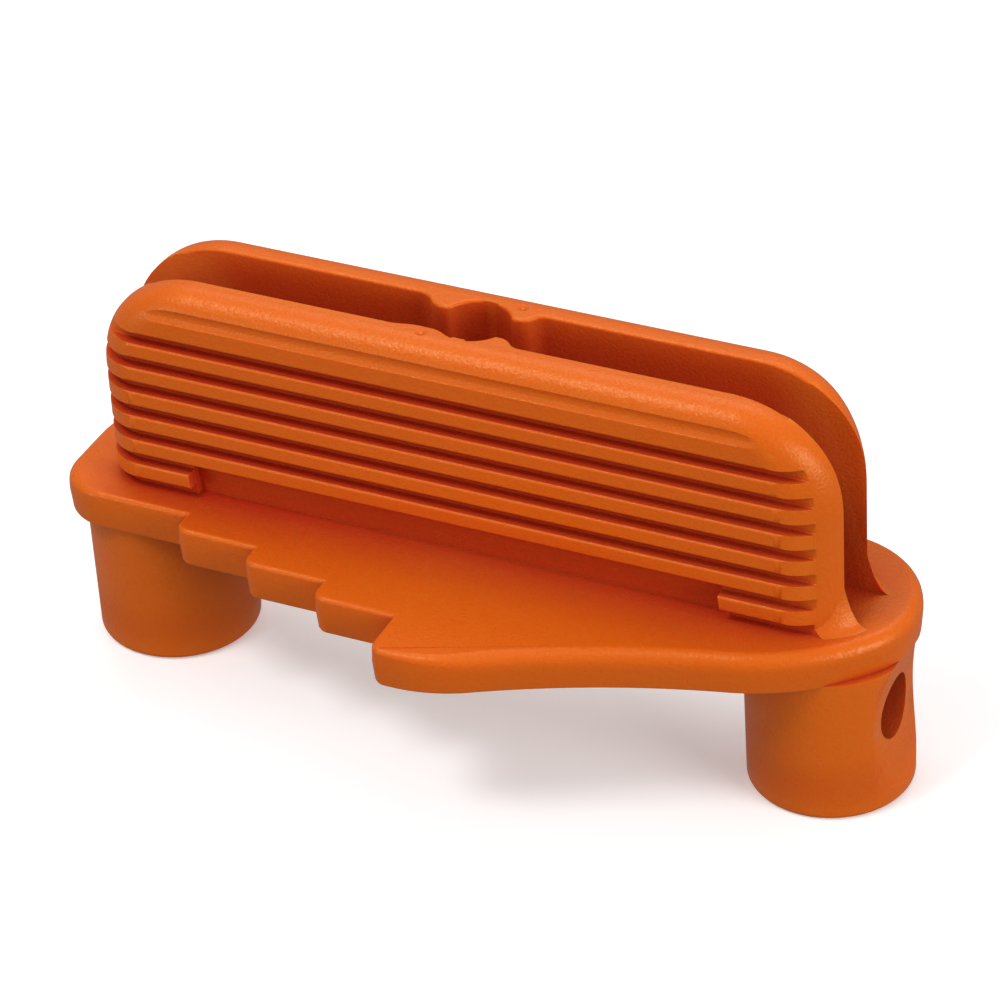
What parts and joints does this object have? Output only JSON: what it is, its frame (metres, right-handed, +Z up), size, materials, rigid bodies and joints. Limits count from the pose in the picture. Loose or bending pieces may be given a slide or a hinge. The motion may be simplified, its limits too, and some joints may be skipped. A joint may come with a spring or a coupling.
{
  "type": "centre finder marking gauge",
  "caption": "Moulded marking gauge: stepped deck on two round posts, slotted ribbed grip, upright pencil guide at mid-length.",
  "frame": {"origin": "middle of the object's footprint, at the level of the post feet", "axes": "+X along the deck from the plain post to the post with the cross hole, +Y from the stepped edge to the straight back edge, +Z up from the post feet to the grip"},
  "size_m": [0.105, 0.0414, 0.0518],
  "materials": {
    "orange_plastic": "satin moulded plastic"
  },
  "bodies": {
    "root": {"deck_plate": "orange_plastic", "left_post": "orange_plastic", "right_post": "orange_plastic", "front_grip_wall": "orange_plastic", "front_rib_1": "orange_plastic", "front_rib_2": "orange_plastic", "front_rib_3": "orange_plastic", "front_rib_4": "orange_plastic", "front_rib_5": "orange_plastic", "front_rib_6": "orange_plastic", "front_short_rib_left": "orange_plastic", "front_short_rib_right": "orange_plastic", "front_guide_lip_left": "orange_plastic", "front_guide_lip_right": "orange_plastic", "rear_grip_wall": "orange_plastic", "rear_rib_1": "orange_plastic", "rear_rib_2": "orange_plastic", "rear_rib_3": "orange_plastic", "rear_rib_4": "orange_plastic", "rear_rib_5": "orange_plastic", "rear_rib_6": "orange_plastic", "rear_short_rib_left": "orange_plastic", "rear_short_rib_right": "orange_plastic", "rear_guide_lip_left": "orange_plastic", "rear_guide_lip_right": "orange_plastic"}
  },
  "joints": []
}
